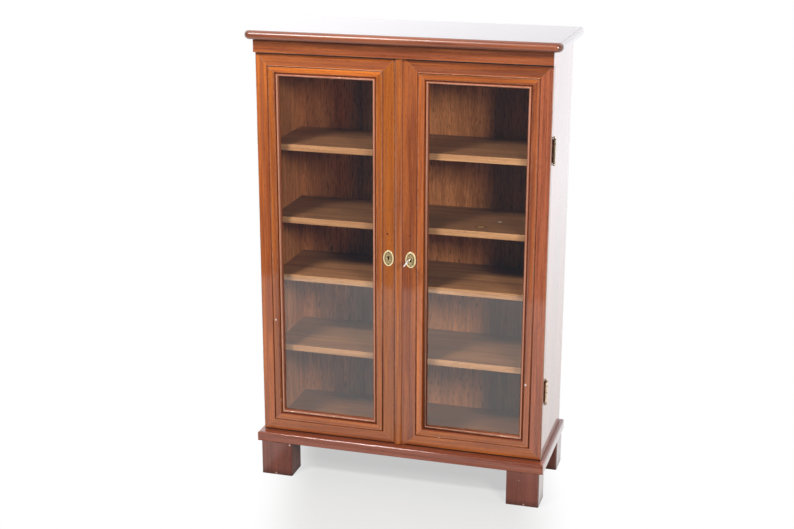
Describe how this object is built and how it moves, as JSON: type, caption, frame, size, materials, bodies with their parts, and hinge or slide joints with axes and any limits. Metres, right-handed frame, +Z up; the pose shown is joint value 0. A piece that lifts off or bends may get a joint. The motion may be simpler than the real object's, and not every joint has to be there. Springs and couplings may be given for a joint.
{
  "type": "bookcase with glass doors",
  "caption": "Upright mahogany bookcase with hinged glazed doors, loose inner shelves, a moulded base on block feet, oval keyhole plates and a working lock.",
  "frame": {"origin": "on the floor, under the middle of the whole object including its key", "axes": "+X along the front to the right, +Y from the front to the back, +Z up"},
  "size_m": [0.85, 0.3664, 1.2665],
  "materials": {
    "mahogany": "polished",
    "mahogany_dark": "polished",
    "oak": "satin",
    "oak_back": "satin",
    "brass": "aged",
    "steel": "worn",
    "glass": "clear"
  },
  "bodies": {
    "carcass": {"top_board": "mahogany", "frieze_rail": "mahogany", "left_side": "mahogany", "right_side": "mahogany", "bottom_board": "oak", "head_rail_front": "oak_back", "head_rail_back": "oak_back", "shelf_pegs": "oak", "base_moulding_front": "mahogany_dark", "base_moulding_left": "mahogany_dark", "base_moulding_right": "mahogany_dark", "base_back_rail": "oak_back", "front_left_foot": "mahogany_dark", "front_right_foot": "mahogany_dark", "back_left_foot": "mahogany_dark", "back_right_foot": "mahogany_dark", "hinge_pins": "brass", "bolt_sockets": "steel", "back_board_1": "oak_back", "back_board_2": "oak_back", "back_board_3": "oak_back", "back_board_4": "oak_back", "shelf_1": "oak", "shelf_2": "oak", "shelf_3": "oak", "shelf_4": "oak", "left_upper_side_leaf": "brass", "left_lower_side_leaf": "brass", "right_upper_side_leaf": "brass", "right_lower_side_leaf": "brass"},
    "left_door": {"lock_keeper": "steel", "upper_bolt_guide": "steel", "lower_bolt_guide": "steel", "left_door_hinge_stile": "mahogany", "left_door_meeting_stile": "mahogany", "left_door_bottom_rail": "mahogany", "left_door_top_rail": "mahogany", "left_door_sight_bead": "mahogany", "left_door_glazing_stops": "mahogany", "left_door_glass": "glass", "left_door_escutcheon": "brass", "left_upper_door_leaf": "brass", "left_lower_door_leaf": "brass"},
    "right_door": {"astragal": "mahogany", "lock_case": "steel", "right_door_hinge_stile": "mahogany", "right_door_meeting_stile": "mahogany", "right_door_bottom_rail": "mahogany", "right_door_top_rail": "mahogany", "right_door_sight_bead": "mahogany", "right_door_glazing_stops": "mahogany", "right_door_glass": "glass", "right_door_escutcheon": "brass", "right_upper_door_leaf": "brass", "right_lower_door_leaf": "brass"},
    "upper_bolt": {"upper_bolt_rod": "steel"},
    "lower_bolt": {"lower_bolt_rod": "steel"},
    "lock_bolt": {"lock_bolt": "steel"},
    "key": {"key": "steel"}
  },
  "joints": [
    {"name": "left_door_swing", "type": "hinge", "parent": "carcass", "child": "left_door", "pos_m": [-0.4046, -0.1023, 0.668], "axis": [0, 0, -1], "range_deg": [0, 170]},
    {"name": "right_door_swing", "type": "hinge", "parent": "carcass", "child": "right_door", "pos_m": [0.4046, -0.1023, 0.668], "axis": [0, 0, 1], "range_deg": [0, 170]},
    {"name": "key_turn", "type": "hinge", "parent": "right_door", "child": "key", "pos_m": [0.031, -0.1248, 0.6715], "axis": [0, -1, 0], "range_deg": [0, 66.1]},
    {"name": "lock_bolt_slide", "type": "slide", "parent": "right_door", "child": "lock_bolt", "axis": [-1, 0, 0], "range_m": [0, 0.008]},
    {"name": "upper_bolt_slide", "type": "slide", "parent": "left_door", "child": "upper_bolt", "axis": [0, 0, 1], "range_m": [0, 0.012]},
    {"name": "lower_bolt_slide", "type": "slide", "parent": "left_door", "child": "lower_bolt", "axis": [0, 0, -1], "range_m": [0, 0.012]}
  ],
  "couplings": [
    {"joint": "key_turn", "follows": "lock_bolt_slide", "rad_per_m": 143.99}
  ]
}
